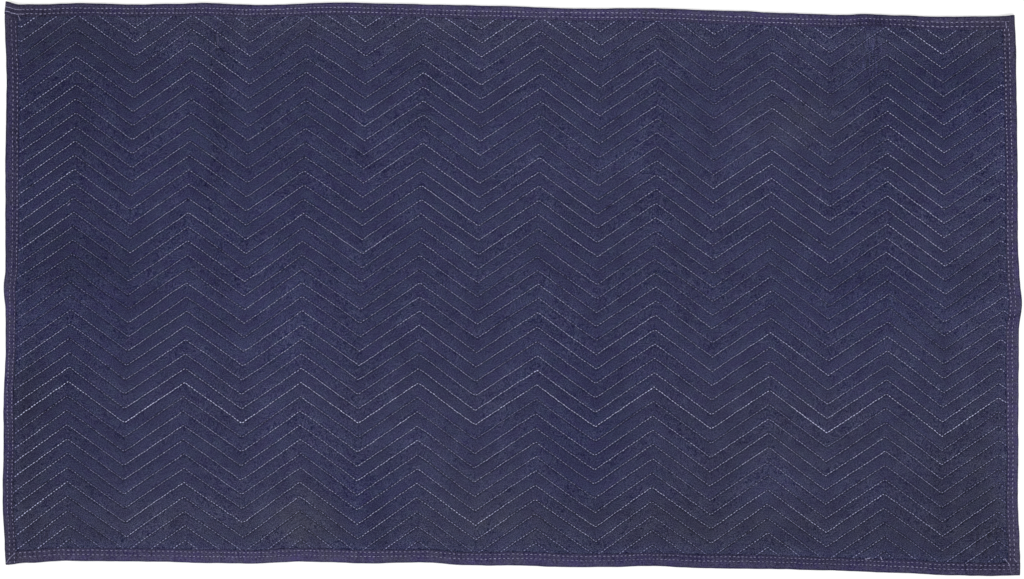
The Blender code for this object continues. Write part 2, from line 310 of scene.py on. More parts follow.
def areas(table, along, across):
    """What each amount of a table's soft areas adds up to at each point."""
    added = 0.0
    for middle_along, middle_across, reach_along, reach_across, *amounts in table:
        away = ((along - middle_along) / reach_along) ** 2 + ((across - middle_across) / reach_across) ** 2
        added = added + np.multiply.outer(amounts, np.exp(-away))
    return added


def set_attribute(mesh, name, values):
    """Stores one number a vertex under a name that materials and node trees read."""
    layer = mesh.attributes.get(name) or mesh.attributes.new(name, "FLOAT", "POINT")
    layer.data.foreach_set("value", np.asarray(values, dtype=np.float32))


def add(tree, kind, inputs=None, **settings):
    """Adds a node and returns its outputs. An input is named or numbered, and takes a value or an output."""
    node = tree.nodes.new(kind)
    for name, value in settings.items():
        setattr(node, name, value)
    for name, value in (inputs or {}).items():
        if isinstance(value, bpy.types.NodeSocket):
            tree.links.new(value, node.inputs[name])
        else:
            node.inputs[name].default_value = value
    return node.outputs


def maths(tree, operation, *values):
    """What a Math node makes of one or two values, or of more, by taking in each of the rest in turn."""
    result = add(tree, "ShaderNodeMath", dict(enumerate(values[:2])), operation=operation)[0]
    for value in values[2:]:
        result = add(tree, "ShaderNodeMath", {0: result, 1: value}, operation=operation)[0]
    return result


def total(tree, *values):
    """All the values added up."""
    return maths(tree, "ADD", *values)


def product(tree, *values):
    """All the values multiplied."""
    return maths(tree, "MULTIPLY", *values)


def vector_maths(tree, operation, *values):
    """What a Vector Math node makes of its vectors."""
    return add(tree, "ShaderNodeVectorMath", dict(enumerate(values)), operation=operation)[0]


def scaled(tree, vector, amount):
    """A vector times a number."""
    return add(tree, "ShaderNodeVectorMath", {0: vector, 3: amount}, operation="SCALE")[0]


def point(tree, x, y, z):
    """The vector with these three parts."""
    return add(tree, "ShaderNodeCombineXYZ", {0: x, 1: y, 2: z})[0]


def ramp(tree, value, start, end, low=0.0, high=1.0, kind="LINEAR"):
    """Goes from low to high as a value goes from start to end, and no further."""
    ends = {"From Min": start, "From Max": end, "To Min": low, "To Max": high}
    return add(tree, "ShaderNodeMapRange", {"Value": value, **ends}, interpolation_type=kind)[0]


def mix(tree, share, first, second):
    """A mix of two numbers, by the second one's share."""
    return add(tree, "ShaderNodeMix", {0: share, 2: first, 3: second})[0]


def mix_colours(tree, share, first, second):
    """A mix of two colours, by the second one's share."""
    first, second = ((*hue, 1.0) if isinstance(hue, tuple) else hue for hue in (first, second))
    return add(tree, "ShaderNodeMix", {0: share, 6: first, 7: second}, data_type="RGBA")[2]


def cloudy(tree, place, scale, detail=1.0, roughness=0.5):
    """A soft random pattern of numbers around a half."""
    inputs = {"Vector": place, "Scale": scale, "Detail": detail, "Roughness": roughness}
    return add(tree, "ShaderNodeTexNoise", inputs)[0]


def banded(tree, place, direction, scale, distortion):
    """Even bands, set out along a direction and a little distorted."""
    inputs = {"Vector": place, "Scale": scale, "Distortion": distortion}
    return add(tree, "ShaderNodeTexWave", inputs, bands_direction=direction)["Fac"]


def attribute(tree, name):
    """A number that is stored on the mesh under a name."""
    if tree.type == "GEOMETRY":
        return add(tree, "GeometryNodeInputNamedAttribute", {"Name": name}, data_type="FLOAT")["Attribute"]
    return add(tree, "ShaderNodeAttribute", attribute_name=name)["Fac"]


def new_material(name, roughness, specular):
    """A dull material with its node tree and its shader's inputs."""
    material = bpy.data.materials.new(name)
    material.use_nodes = True
    surface = material.node_tree.nodes["Principled BSDF"].inputs
    surface["Roughness"].default_value = roughness
    surface["Specular IOR Level"].default_value = specular
    return material, material.node_tree, surface


def new_geometry_tree(name, **defaults):
    """A geometry tree. Its named inputs are given by kind, each with its default or None."""
    tree = bpy.data.node_groups.new(name, "GeometryNodeTree")
    tree.interface.new_socket("Geometry", in_out="INPUT", socket_type="NodeSocketGeometry")
    tree.interface.new_socket("Geometry", in_out="OUTPUT", socket_type="NodeSocketGeometry")
    for kind, inputs in defaults.items():
        for input_name, default in inputs.items():
            socket = tree.interface.new_socket(input_name, in_out="INPUT", socket_type=f"NodeSocket{kind}")
            if default is not None:
                socket.default_value = default
    return tree


def finish(tree, geometry, material):
    """Ends a geometry tree, with everything real and in its material."""
    realized = add(tree, "GeometryNodeRealizeInstances", {0: geometry})[0]
    finished = add(tree, "GeometryNodeSetMaterial", {"Geometry": realized, "Material": material})[0]
    add(tree, "NodeGroupOutput", {0: finished})


def made_by(tree, name, mesh, settings):
    """Runs a geometry tree on a mesh and keeps the result as a plain mesh object."""
    source = bpy.data.objects.new(name + "_source", mesh)
    scene.collection.objects.link(source)
    modifier = source.modifiers.new(tree.name, "NODES")
    modifier.node_group = tree
    identifiers = {item.name: item.identifier for item in tree.interface.items_tree if item.in_out == "INPUT"}
    for setting, value in settings.items():
        modifier[identifiers[setting]] = value
    depsgraph = bpy.context.evaluated_depsgraph_get()
    evaluated = source.evaluated_get(depsgraph)
    result = bpy.data.meshes.new_from_object(evaluated, preserve_all_data_layers=True, depsgraph=depsgraph)
    result.name = name
    material = next(item for item in result.materials if item)
    result.materials.clear()
    result.materials.append(material)
    result.polygons.foreach_set("material_index", [0] * len(result.polygons))
    piece = bpy.data.objects.new(name, result)
    scene.collection.objects.link(piece)
    bpy.data.objects.remove(source)
    return piece


def grid_faces(lines, count):
    """The faces of a grid of vertices that stand in so many lines, with so many in each."""
    firsts = [line * count + place for line in range(lines - 1) for place in range(count - 1)]
    return [(first, first + count, first + count + 1, first + 1) for first in firsts]


def cut(bm, faces, axis, place, keep=0):
    """Cuts faces along a straight line of the cloth. keep is the side that stays: -1, 1, or 0 for both."""
    around = dict.fromkeys(item for face in faces for item in (face, *face.edges, *face.verts))
    point, normal = Vector((0, 0, 0)), Vector((0, 0, 0))
    point[axis] = place
    normal[axis] = 1
    cleared = {"clear_inner": keep > 0, "clear_outer": keep < 0}
    bmesh.ops.bisect_plane(bm, geom=list(around), dist=SNAP, plane_co=point, plane_no=normal, **cleared)


def quilted_sheet():
    """The sandwich as a flat closed mesh along its own seams: a fine face and a coarser back."""
    columns = np.arange(COLUMNS[0] * COLUMN_STEPS, COLUMNS[1] * COLUMN_STEPS + 1) / COLUMN_STEPS
    rows = np.array([row + step for row in range(*ROWS) for step in ROW_STEPS])
    bm = bmesh.new()
    row_of = bm.verts.layers.float.new("row")
    column_of = bm.verts.layers.float.new("column")
    face_of = bm.verts.layers.float.new("face")
    grid_rows, grid_columns = np.meshgrid(rows, columns, indexing="ij")
    along, across = quilted(grid_columns, grid_rows)
    verts = []
    for place in zip(along.flat, across.flat, grid_rows.flat, grid_columns.flat):
        vert = bm.verts.new((place[0], place[1], 0.0))
        vert[row_of], vert[column_of] = place[2], place[3]
        verts.append(vert)
    for corners in grid_faces(len(rows), len(columns)):
        bm.faces.new([verts[corner] for corner in corners])
    for axis, size in ((0, LENGTH), (1, WIDTH)):
        cut(bm, bm.faces[:], axis, SET_IN, keep=1)
        cut(bm, bm.faces[:], axis, size - SET_IN, keep=-1)
    for axis, size in ((0, LENGTH), (1, WIDTH)):
        cut(bm, bm.faces[:], axis, PRESSED_DEPTH)
        cut(bm, bm.faces[:], axis, size - PRESSED_DEPTH)
    back = bm.faces[:]
    face_side = bmesh.ops.extrude_face_region(bm, geom=back, use_keep_orig=True)["geom"]
    for vert in (item for item in face_side if isinstance(item, bmesh.types.BMVert)):
        vert[face_of] = 1.0
    face_edges = [item for item in face_side if isinstance(item, bmesh.types.BMEdge)]
    bmesh.ops.reverse_faces(bm, faces=back)
    bmesh.ops.subdivide_edges(bm, edges=face_edges, cuts=FACE_CELLS - 1, use_grid_fill=True)
    mesh = bpy.data.meshes.new("quilted_sheet")
    bm.to_mesh(mesh)
    bm.free()
    return mesh


sheet_mesh = quilted_sheet()
points = np.empty(len(sheet_mesh.vertices) * 3)
sheet_mesh.vertices.foreach_get("co", points)
points = points.reshape(-1, 3)
along, across = points[:, 0].copy(), points[:, 1].copy()
set_attribute(sheet_mesh, "depth", edge_depth(along, across))
set_attribute(sheet_mesh, "crease", crease_lift(along, across))
# The margin's painted light joins the face's tone.
margin_light = MARGIN_LIGHT * np.exp(-(((edge_depth(along, across) - MARGIN_DEPTH) / MARGIN_WIDTH) ** 2))
set_attribute(sheet_mesh, "tone", areas(WORN_AND_SHADED_AREAS, along, across)[0] + margin_light)
set_attribute(sheet_mesh, "rumple", areas(RUMPLED_AREAS, along, across)[0])
set_attribute(sheet_mesh, "dust", DUST_ALL_OVER + areas(DUSTY_AREAS, along, across)[0])
points[:, 0], points[:, 1] = laid(along, across)
sheet_mesh.vertices.foreach_set("co", points.ravel())

# The sewing draws the sandwich down along each row and leaves it puffed between rows, on both sides.
puffing = tree = new_geometry_tree(
    "quilted puffs",
    Float={
        "Seam Height": 0.0031,
        "Crown Height": 0.0056,
        "Roundness": 7.5,
        "Loft Unevenness": 0.0012,
        "Pucker": 0.0009,
        "Puckers In A Half Run": 5.0,
        "Underside Dimple": 0.0011,
        "Pressed Face": 0.0034,
        "Pressed Underside": 0.0021,
        "Pressed Depth": PRESSED_DEPTH,
        "Swell Width": 0.013,
    },
    Material={"Cloth": None},
)
sizes = add(tree, "NodeGroupInput")
row, column, face = (attribute(tree, name) for name in ("row", "column", "face"))
from_seam = product(tree, maths(tree, "PINGPONG", row, 0.5), 2.0)
from_crown = maths(tree, "SUBTRACT", 1.0, from_seam)
hollow = maths(tree, "POWER", from_crown, sizes["Roundness"])
puff = maths(tree, "SUBTRACT", 1.0, hollow)
pucker_place = point(tree, product(tree, column, sizes["Puckers In A Half Run"]), row, face)
pucker = maths(tree, "SUBTRACT", cloudy(tree, pucker_place, 1.0), 0.5)
pucker_size = product(tree, sizes["Pucker"], PUCKER_GAIN)
beside_seam = product(tree, from_seam, from_crown)
pucker = product(tree, pucker, pucker_size, beside_seam)
loft_place = point(tree, product(tree, column, LOFTS_A_COLUMN), row, LOFT_LAYER)
loft = maths(tree, "SUBTRACT", cloudy(tree, loft_place, 0.6), 0.5)
loft = product(tree, loft, product(tree, sizes["Loft Unevenness"], LOFT_GAIN))
crown = maths(tree, "SUBTRACT", sizes["Crown Height"], sizes["Seam Height"])
crown = product(tree, total(tree, crown, loft), puff)
lofted = total(tree, sizes["Seam Height"], crown, pucker, attribute(tree, "crease"))
dimpled = product(tree, sizes["Underside Dimple"], hollow)
swollen_depth = total(tree, sizes["Pressed Depth"], sizes["Swell Width"])
depth = attribute(tree, "depth")
swell = ramp(tree, depth, sizes["Pressed Depth"], swollen_depth, kind="SMOOTHSTEP")
face_height = mix(tree, swell, sizes["Pressed Face"], lofted)
under_height = mix(tree, swell, sizes["Pressed Underside"], dimpled)
lift = point(tree, 0.0, 0.0, mix(tree, face, under_height, face_height))
raised = add(tree, "GeometryNodeSetPosition", {"Geometry": sizes["Geometry"], "Offset": lift})[0]
finish(tree, add(tree, "GeometryNodeSetShadeSmooth", {0: raised})[0], sizes["Cloth"])

# The cloth: a plain weave of dark blue yarn, speckled and blotched with violet and slate, dull all over.
CLOTH_VIOLET = (0.0198, 0.0162, 0.0645)
CLOTH_SLATE = (0.015, 0.0221, 0.0537)
CLOTH_DUST = (0.0307, 0.0312, 0.0503)
CLOTH_FLECK = (0.0335, 0.0336, 0.044)
CLOUD_DEPTH = 1.19
GUTTER_SHADE = -0.36
BROW_HIGHLIGHT = 0.11
WRINKLE_SHADE_AND_BUMP = 2.4
WRINKLES_A_METRE = (300.0, 26.0, 1.0)
SPECKLES_A_METRE = 700.0
YARNS_A_METRE = 260.0
cloth, tree, surface = new_material("panel_cloth", roughness=0.95, specular=0.15)
place = add(tree, "ShaderNodeTexCoord")["Object"]
blotches = ramp(tree, cloudy(tree, place, scale=48.0, detail=4.0, roughness=0.78), 0.30, 0.70)
hue = mix_colours(tree, blotches, CLOTH_VIOLET, CLOTH_SLATE)
patches = product(tree, cloudy(tree, place, scale=28.0, detail=4.0, roughness=0.65), 2.0)
hue = mix_colours(tree, product(tree, attribute(tree, "dust"), patches), hue, CLOTH_DUST)
clouds = ramp(tree, cloudy(tree, place, scale=24.0, detail=4.0, roughness=0.62), 0.25, 0.75, -1.25, 1.25)
row = attribute(tree, "row")
# Painted shade darkens the cloth in the gutter on either side of each seam.
painted_gutter_shade = ramp(tree, maths(tree, "PINGPONG", row, 0.5), 0.05, 0.145, GUTTER_SHADE, 0.0, "SMOOTHSTEP")
# A painted highlight along the brow of each puff just above the next seam, on the slope that faces the
# window.
up_to_seam = maths(tree, "FRACT", row)
brow_start = ramp(tree, up_to_seam, 0.60, 0.74, 0.0, BROW_HIGHLIGHT, "SMOOTHSTEP")
brow_end = ramp(tree, up_to_seam, 0.82, 0.92, 1.0, 0.0, "SMOOTHSTEP")
brow_highlight = product(tree, brow_start, brow_end)
# The wrinkles are painted into the colour as light and shade, and bump the surface too.
wrinkles = cloudy(tree, vector_maths(tree, "MULTIPLY", place, WRINKLES_A_METRE), 1.0)
wrinkles = product(tree, maths(tree, "SUBTRACT", wrinkles, 0.5), WRINKLE_SHADE_AND_BUMP)
wrinkles = product(tree, wrinkles, attribute(tree, "rumple"))
gain = total(tree, attribute(tree, "tone"), 1.0, painted_gutter_shade, brow_highlight, wrinkles)
gain = product(tree, gain, maths(tree, "POWER", CLOUD_DEPTH, clouds))
speckle = cloudy(tree, place, SPECKLES_A_METRE)
flecks = product(tree, ramp(tree, speckle, 0.25, 0.75, -1.6, 1.75), gain)
colour = vector_maths(tree, "MULTIPLY_ADD", flecks, CLOTH_FLECK, scaled(tree, hue, gain))
tree.links.new(colour, surface["Base Color"])
warp, weft = (banded(tree, place, direction, YARNS_A_METRE, 1.2) for direction in "XY")
weave = product(tree, warp, weft)
weave = total(tree, weave, total(tree, speckle, wrinkles))
bump = add(tree, "ShaderNodeBump", {"Strength": 0.5, "Distance": 0.0004, "Height": weave})[0]
tree.links.new(bump, surface["Normal"])

panel = made_by(puffing, "blanket_panel", sheet_mesh, {"Cloth": cloth})
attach(panel, "root")
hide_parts("quilted_panel")


# ----------------------------------------------------------
# The quilting stitches: pale grey-blue lockstitch along every zigzag row, showing on both sides. Each stitch
# is a short bead of thread that dives into the cloth at both its ends.
# ----------------------------------------------------------

# How strongly the thread shows in each row, and in each half run by its first column, where that isn't 1.
ROW_STRENGTH = {
    1: 1.0, 2: 0.6, 3: 0.95, 4: 0.8, 5: 1.1, 6: 0.9, 7: 1.1, 8: 0.9, 9: 0.8, 10: 1.05, 12: 1.15, 13: 1.1,
    15: 1.2, 16: 0.75, 18: 0.75, 19: 0.8, 20: 1.1, 21: 0.8, 22: 1.1, 23: 1.15, 26: 1.3, 27: 2.0, 28: 0.65,
    29: 1.05, 30: 1.1, 31: 1.15, 32: 0.85, 33: 0.85, 34: 1.15, 35: 0.85, 36: 0.65, 37: 0.75, 38: 0.65,
    39: 0.7, 40: 0.65,
}
RUN_STRENGTH = {
    -2: 0.5, -1: 1.1, 0: 0.75, 1: 1.15, 2: 0.9, 3: 0.95, 4: 1.0, 5: 1.05, 7: 1.05, 9: 1.05, 10: 0.9,
    15: 0.9,
}

# In the lower rows the thread stands out more on the rising half runs, and in the upper rows a little less:
# (row, share more or less).
RISING_STRENGTH = ((-3, -0.08), (17, -0.08), (20, 0.04), (27, 0.04), (29, 0.22), (41, 0.24))

# Stretches where every needle ran tighter or looser: (column, row, reach in columns and rows, strength).
TENSION_AREAS = (
    (-0.5, 10.5, 0.8, 6.5, 0.35), (-0.5, 20.0, 0.8, 2.5, -0.45), (-0.5, 31.5, 0.8, 4.0, 0.2),
    (-0.5, 36.5, 0.4, 1.0, 0.45), (-0.5, -2.0, 0.7, 1.6, 1.2), (10.5, 6.0, 0.6, 5.5, -0.42),
    (14.5, 10.5, 0.6, 6.5, 0.35), (6.5, 13.0, 2.0, 3.0, 0.12), (13.5, 1.5, 0.6, 3.0, -0.55),
    (14.5, -0.5, 1.2, 3.0, 0.5), (0.5, 19.0, 0.8, 11.0, -0.3), (14.5, 20.0, 0.5, 1.5, -0.5),
    (0.5, 39.0, 0.5, 10.0, 0.36), (8.0, 1.5, 1.6, 3.5, 0.65), (15.5, 33.0, 1.6, 5.0, -0.35),
    (14.5, 36.0, 0.5, 7.0, 0.35), (15.5, 37.5, 0.5, 3.0, 0.3), (8.5, 6.5, 0.5, 10.0, -0.25),
    (12.5, 20.0, 0.5, 2.2, -0.4), (2.5, 5.5, 0.6, 8.0, -0.24), (2.5, 2.5, 0.6, 1.8, 0.7),
    (2.5, 38.0, 0.5, 5.0, 0.7), (10.5, 33.0, 0.6, 5.5, 0.4), (11.5, 11.0, 0.5, 1.7, 0.75),
    (12.5, 41.0, 0.9, 12.0, 0.35), (7.5, 28.5, 0.5, 2.5, -0.28), (6.5, 34.0, 0.5, 2.0, 0.75),
    (11.5, 32.5, 0.9, 1.1, -0.42), (4.7, 28.0, 1.1, 1.0, 0.65), (4.5, 35.5, 0.5, 2.8, 0.4),
    (4.5, 13.5, 0.6, 8.0, -0.28), (-0.5, 3.0, 0.5, 5.0, -0.25), (8.5, 35.0, 0.5, 1.0, 1.0),
    (3.5, 18.0, 0.5, 1.7, 0.9), (14.5, 3.5, 0.6, 1.2, -0.4),
)

# Where the needle skipped or the thread broke: (row, from column, to column).
SKIPPED = ((2, 2.46, 2.545),)
PATH_STEPS = 24
ZIGZAG_STITCH = 0.0058
SEWN_DEPTH = 0.0165
TUCKED_WIDTH = 0.028
TUCKED_SHADE = 0.72
UNEVEN_SHARE = 0.32
UNEVEN_A_COLUMN = 4.1
UNEVEN_A_ROW = 5.3
RAY_START = 0.05


def noted(tree, geometry, name, value):
    """Geometry with a number stored on its points under a name."""
    inputs = {"Geometry": geometry, "Name": name, "Value": value}
    return add(tree, "GeometryNodeStoreNamedAttribute", inputs, data_type="FLOAT", domain="POINT")[0]


stitching = tree = new_geometry_tree(
    "lockstitch rows",
    Object={"Cloth": None},
    Material={"Thread": None},
    Bool={"Space Evenly": True},
    Float={
        "Stitch Pitch": 0.00595,
        "Thread Width": 0.0023,
        "Thread Height": 0.0010,
        "Sunk": -0.0002,
        "Slant": 0.10,
        "Wander": 0.0003,
    },
    Int={"Sides": 4, "Rings": 4, "Seed": 3},
)
sizes = add(tree, "NodeGroupInput")
path = add(tree, "GeometryNodeMeshToCurve", {"Mesh": sizes["Geometry"]})[0]
spacing = {"Curve": path, "Length": sizes["Stitch Pitch"]}
even_path = add(tree, "GeometryNodeResampleCurve", spacing, mode="LENGTH")[0]
paths = {"Switch": sizes["Space Evenly"], "False": path, "True": even_path}
path = add(tree, "GeometryNodeSwitch", paths, input_type="GEOMETRY")[0]

# Each stitch is seated where a ray from outside its own side of the cloth meets it.
side = attribute(tree, "side")
spot = add(tree, "ShaderNodeSeparateXYZ", {0: add(tree, "GeometryNodeInputPosition")[0]})
seat = add(
    tree,
    "GeometryNodeRaycast",
    {
        "Target Geometry": add(tree, "GeometryNodeObjectInfo", {"Object": sizes["Cloth"]})["Geometry"],
        "Source Position": point(tree, spot[0], spot[1], product(tree, side, RAY_START)),
        "Ray Direction": point(tree, 0.0, 0.0, product(tree, side, -1.0)),
        "Ray Length": 2 * RAY_START,
    },
)
sunk = scaled(tree, seat["Hit Normal"], sizes["Sunk"])
wander_range = {0: (-1.0, -1.0, 0.0), 1: (1.0, 1.0, 0.0), "Seed": sizes["Seed"]}
wander = add(tree, "FunctionNodeRandomValue", wander_range, data_type="FLOAT_VECTOR")[0]
seated = vector_maths(tree, "SUBTRACT", seat["Hit Position"], sunk)
seated = vector_maths(tree, "ADD", seated, scaled(tree, wander, sizes["Wander"]))
path = add(tree, "GeometryNodeSetPosition", {"Geometry": path, "Position": seated})[0]
unlike_range = {2: 0.85, 3: 1.15, "Seed": total(tree, sizes["Seed"], 1)}
unlike = add(tree, "FunctionNodeRandomValue", unlike_range, data_type="FLOAT")[1]
strength = product(tree, attribute(tree, "strength"), unlike)
path = noted(tree, path, "strength", strength)

# A bead lies along its row and flat on the cloth, a little slanted, and knows how near its ends a place is.
bead_sizes = {"Segments": sizes["Sides"], "Rings": sizes["Rings"], "Radius": 0.5}
bead = add(tree, "GeometryNodeMeshUVSphere", bead_sizes)[0]
bead = add(tree, "GeometryNodeTransform", {"Geometry": bead, "Rotation": (0.0, math.pi / 2, 0.0)})[0]
bead = add(tree, "GeometryNodeSetShadeSmooth", {0: bead})[0]
on_bead = add(tree, "ShaderNodeSeparateXYZ", {0: add(tree, "GeometryNodeInputPosition")[0]})[0]
reach = product(tree, maths(tree, "ABSOLUTE", on_bead), 2.0)
bead = noted(tree, bead, "reach", reach)
tangent = add(tree, "GeometryNodeInputTangent")[0]
turn = add(tree, "FunctionNodeAlignRotationToVector", {"Vector": tangent}, axis="X")[0]
upright = {"Rotation": turn, "Vector": seat["Hit Normal"]}
turn = add(tree, "FunctionNodeAlignRotationToVector", upright, axis="Z", pivot_axis="X")[0]
slant_range = {2: -1.0, 3: 1.0, "Seed": total(tree, sizes["Seed"], 2)}
slant = add(tree, "FunctionNodeRandomValue", slant_range, data_type="FLOAT")[1]
aside = point(tree, 0.0, 0.0, product(tree, slant, sizes["Slant"]))
slanted = {"Rotation": turn, "Rotate By": aside}
turn = add(tree, "FunctionNodeRotateRotation", slanted, rotation_space="LOCAL")[0]
fat = maths(tree, "POWER", strength, 0.15)
girth = product(tree, sizes["Thread Width"], fat)
stand = product(tree, sizes["Thread Height"], fat)
bead_size = point(tree, attribute(tree, "length"), girth, stand)
beads = {"Points": path, "Instance": bead, "Rotation": turn, "Scale": bead_size}
finish(tree, add(tree, "GeometryNodeInstanceOnPoints", beads)[0], sizes["Thread"])


def sewing_path(name, lines):
    """Rows to sew, as a mesh of bare edges. Each line is (spots, strength, length, side)."""
    spots = np.concatenate([line[0] for line in lines])
    last_of_line = np.cumsum([len(line[0]) for line in lines]) - 1
    starts = np.setdiff1d(np.arange(len(spots)), last_of_line)
    mesh = bpy.data.meshes.new(name)
    edges = np.stack((starts, starts + 1), axis=1)
    mesh.from_pydata(np.pad(spots, ((0, 0), (0, 1))).tolist(), edges.tolist(), [])
    for item, attribute_name in ((1, "strength"), (2, "length"), (3, "side")):
        values = [np.broadcast_to(line[item], len(line[0])) for line in lines]
        set_attribute(mesh, attribute_name, np.concatenate(values))
    return mesh


def zigzag_lines(rows, side):
    """The zigzag rows as far in under the binding as they were sewn, with each half run's thread strength."""
    lines = []
    for row in rows:
        columns = np.arange(COLUMNS[0] * PATH_STEPS, COLUMNS[1] * PATH_STEPS + 1) / PATH_STEPS
        along, across = quilted(columns, np.full(len(columns), float(row)))
        sewn = edge_depth(along, across) > SEWN_DEPTH
        for skipped, first, last in SKIPPED:
            if row == skipped:
                sewn &= (columns < first) | (columns > last)
        spots = np.array(laid(along, across)).T
        half_runs = np.floor(columns)
        strengths = np.array([RUN_STRENGTH.get(int(half_run), 1.0) for half_run in half_runs])
        strengths *= ROW_STRENGTH.get(row, 1.0)
        strengths *= 1.0 + read(RISING_STRENGTH, row)[0] * np.where(half_runs % 2, 1, -1)
        strengths *= 1.0 + areas(TENSION_AREAS, half_runs + 0.5, float(row))[0]
        places = [(column * UNEVEN_A_COLUMN, row * UNEVEN_A_ROW, side) for column in columns]
        strengths *= [1.0 + UNEVEN_SHARE * noise.noise(Vector(place)) for place in places]
        tucked = 1.0 - smooth((edge_depth(along, across) - SEWN_DEPTH) / TUCKED_WIDTH)
        strengths *= 1.0 - TUCKED_SHADE * tucked
        start = 0
        for index in range(len(columns) + 1):
            if index == len(columns) or not sewn[index]:
                if index - start > 2:
                    lines.append((spots[start:index], strengths[start:index], ZIGZAG_STITCH, side))
                start = index + 1
    return lines


THREAD_COLOUR = (0.358, 0.371, 0.496)
THREAD_SHADOW_BLUE = (0.0, 0.0, 0.079)
DIVING_SHADE = 0.13
SLACK_SHADE = 0.38
SLACK_SHARE = 0.85
SHOWING_POWER = 0.75
FRAYS_A_METRE = 900.0
thread, tree, surface = new_material("quilting_thread", roughness=0.7, specular=0.3)
place = add(tree, "ShaderNodeTexCoord")["Object"]
diving = ramp(tree, attribute(tree, "reach"), 0.30, 0.72, 1.0, DIVING_SHADE)
tight = ramp(tree, cloudy(tree, place, scale=9.0), 0.34, 0.50, SLACK_SHADE, 1.0)
fray = product(tree, cloudy(tree, place, FRAYS_A_METRE, detail=2.0), 2.0)
showing = maths(tree, "POWER", attribute(tree, "strength"), SHOWING_POWER)
gain = product(tree, showing, fray, mix(tree, tight, SLACK_SHARE, diving))
colour = vector_maths(tree, "MULTIPLY_ADD", THREAD_COLOUR, gain, THREAD_SHADOW_BLUE)
tree.links.new(colour, surface["Base Color"])

for name, rows, side, sides, rings, seed in (
    ("quilting_stitches_upper", range(-3, 19), 1, 4, 4, 11),
    ("quilting_stitches_lower", range(19, 41), 1, 4, 4, 12),
    ("quilting_stitches_back", range(-3, 41), -1, 3, 3, 13),
):
    stitches = made_by(
        stitching,
        name,
        sewing_path(name + "_path", zigzag_lines(rows, side)),
        {"Cloth": panel, "Thread": thread, "Sides": sides, "Rings": rings, "Seed": seed},
    )
    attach(stitches, "root")


# ----------------------------------------------------------
# The binding: four strips of woven polyester tape, each folded over an edge of the panel. They were sewn on
# one after another, so each lies over its neighbour at one corner and under the other one at the next.
# ----------------------------------------------------------
TAPE = 0.0008
UNDER_FLANGE = 0.0235
FOLD_DEPTH = 0.0022

# How high the tape's outside lies under the cloth and on the face, and where it laps or is lapped.
LOW = 0.0008
LOW_LAPPING = 0.0006
LOW_COVERED = 0.0015
HIGH = 0.0049
HIGH_LAPPING = 0.006
LAP_LENGTH = 0.0245
LAP_RAMP = 0.016
RUN_STEP = 0.004
ROW_GAP = 0.0079
STITCH_DIP = 0.0005
DIP_WIDTH = 0.0013
DIP_SHADE = 0.1
ROLL_HEIGHT = 0.0005
ROLL_DEPTH = 0.0055
ROLL_WIDTH = 0.0025
EDGE_DROOP = 0.0003
PLEAT_SHADE = 500
PLEAT_STATIONS = (-1.5, -0.7, 0.0, 0.7, 1.5)
UNDER_DEPTHS = np.linspace(UNDER_FLANGE, FOLD_DEPTH, 5)
FOLD_ANGLES = np.linspace(-60, 60, 5)
FACE_SHARES = (*np.linspace(0.0, 0.2, 6)[:-1], *np.linspace(0.2, 1.0, 13))

STRAY_GAIN = 1.8
STRAY_KINDS_APART = 3.7

# How far the tape strays from true: (how far, over what length).
HEM_STRAY = (0.0005, 0.05)
FOLD_STRAY = (0.0003, 0.018)
WAVE_STRAY = (0.0003, 0.04)
RIPPLE_STRAY = (0.00025, 0.009)

# Each strip runs clockwise from the end that laps over its neighbour. First the lengths of their edges, then
# how wide their tape is beyond its inner stitch row.
EDGES = {"binding_top": LENGTH, "binding_right": WIDTH, "binding_bottom": LENGTH, "binding_left": WIDTH}
HEMS = {"binding_top": 0.0054, "binding_right": 0.0028, "binding_bottom": 0.0036, "binding_left": 0.0025}

# How deep in from the edge the outer stitch row wanders along each strip: (place, depth).
ROW_DEPTHS = {
    "binding_top": (
        (0.0, 0.0096), (0.14, 0.0093), (0.23, 0.0081), (0.41, 0.0096), (0.5, 0.0084), (0.7, 0.0092),
        (0.87, 0.0103), (1.05, 0.0081), (1.23, 0.0094), (1.32, 0.0106), (1.41, 0.0106), (1.5, 0.0091),
        (1.59, 0.0084), (1.68, 0.0103), (1.82, 0.0109),
    ),
    "binding_right": (
        (0.0, 0.0121), (0.16, 0.0115), (0.28, 0.0103), (0.41, 0.0108), (0.54, 0.012), (0.6, 0.0123),
        (0.72, 0.011), (0.79, 0.0098), (1.01, 0.0102),
    ),
    "binding_bottom": (
        (0.0, 0.0116), (0.14, 0.0111), (0.23, 0.0124), (0.32, 0.0119), (0.5, 0.0134), (0.77, 0.0119),
        (0.86, 0.0131), (1.05, 0.0114), (1.14, 0.0124), (1.4, 0.0122), (1.59, 0.0114), (1.68, 0.0121),
        (1.82, 0.0113),
    ),
    "binding_left": (
        (0.0, 0.0088), (0.22, 0.0085), (0.34, 0.0063), (0.41, 0.0075), (0.54, 0.0118), (0.6, 0.0133),
        (0.72, 0.0135), (0.85, 0.012), (1.01, 0.0122),
    ),
}
